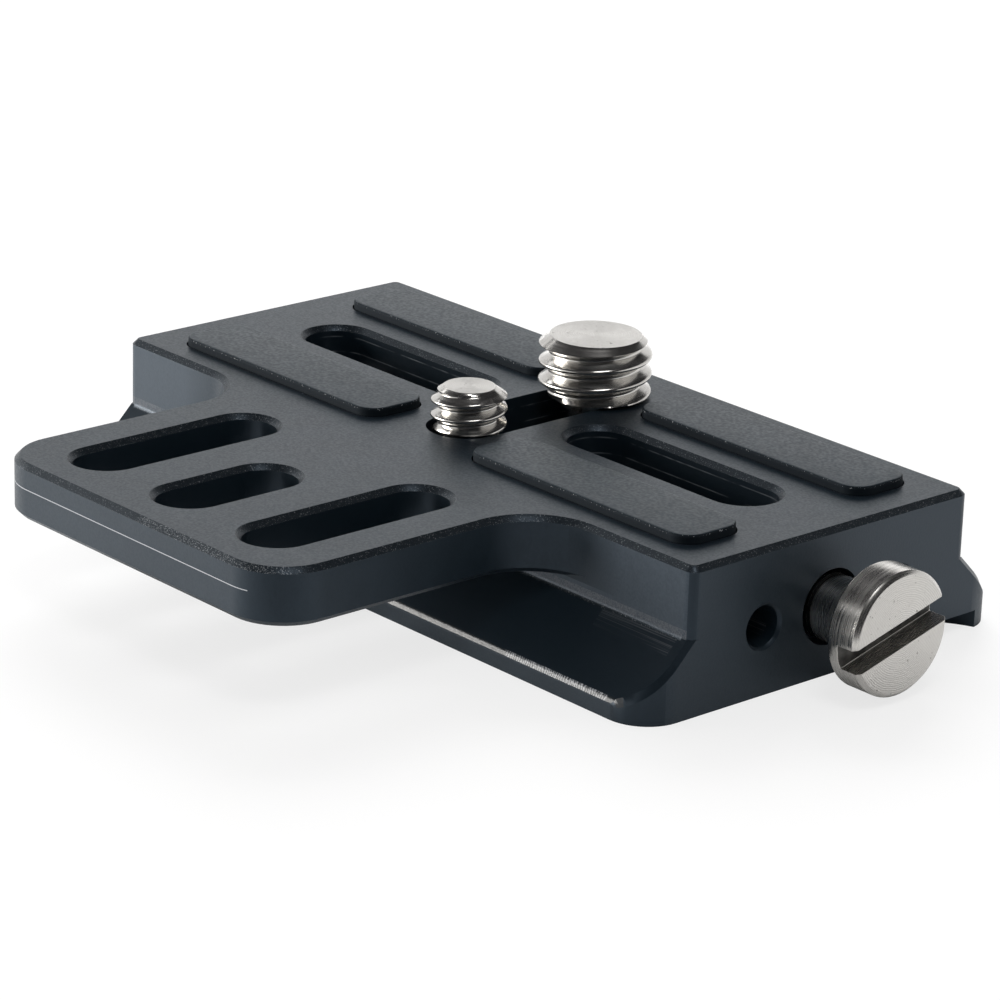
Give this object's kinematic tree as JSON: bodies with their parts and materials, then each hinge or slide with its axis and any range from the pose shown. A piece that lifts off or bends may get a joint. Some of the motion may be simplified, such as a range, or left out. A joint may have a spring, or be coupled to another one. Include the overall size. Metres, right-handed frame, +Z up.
{
  "type": "quick release plate",
  "caption": "Black anodised camera quick release plate with a 45 degree dovetail foot, a slotted tongue, rubber strips, two captive camera screws and a slotted stop screw",
  "frame": {"origin": "centre of the dovetail foot's underside", "axes": "+X along the dovetail towards the end with the shallow underside cut, -Y towards the slotted tongue, +Z up to the camera"},
  "size_m": [0.0772, 0.0604, 0.0172],
  "materials": {
    "black_anodised": "bead blasted and anodised black, milled underneath",
    "pad_rubber": "fine matt",
    "turned_steel": "turned, bright"
  },
  "bodies": {
    "plate": {"plate_body": "black_anodised", "front_left_pad": "pad_rubber", "front_right_pad": "pad_rubber", "rear_left_pad": "pad_rubber", "rear_right_pad": "pad_rubber"},
    "small_guide": {"small_screw_guide": "turned_steel"},
    "small_screw": {"small_camera_screw": "turned_steel", "small_screw_head": "turned_steel"},
    "large_guide": {"large_screw_guide": "turned_steel"},
    "large_screw": {"large_camera_screw": "turned_steel", "large_screw_head": "turned_steel"},
    "stop": {"stop_screw": "turned_steel"}
  },
  "joints": [
    {"name": "small_screw_slide", "type": "slide", "parent": "plate", "child": "small_guide", "axis": [0, 1, 0], "range_m": [-0.00045, 0.00205]},
    {"name": "small_screw_turn", "type": "hinge", "parent": "small_guide", "child": "small_screw", "pos_m": [0, -0.0067, 0.0075], "axis": [0, 0, 1], "continuous": true},
    {"name": "large_screw_slide", "type": "slide", "parent": "plate", "child": "large_guide", "axis": [0, 1, 0], "range_m": [-0.00235, 0.00015]},
    {"name": "large_screw_turn", "type": "hinge", "parent": "large_guide", "child": "large_screw", "pos_m": [0, 0.007, 0.0075], "axis": [0, 0, 1], "continuous": true},
    {"name": "stop_screw_turn", "type": "hinge", "parent": "plate", "child": "stop", "pos_m": [0.0365, 0, 0.0056], "axis": [1, 0, 0], "continuous": true}
  ]
}
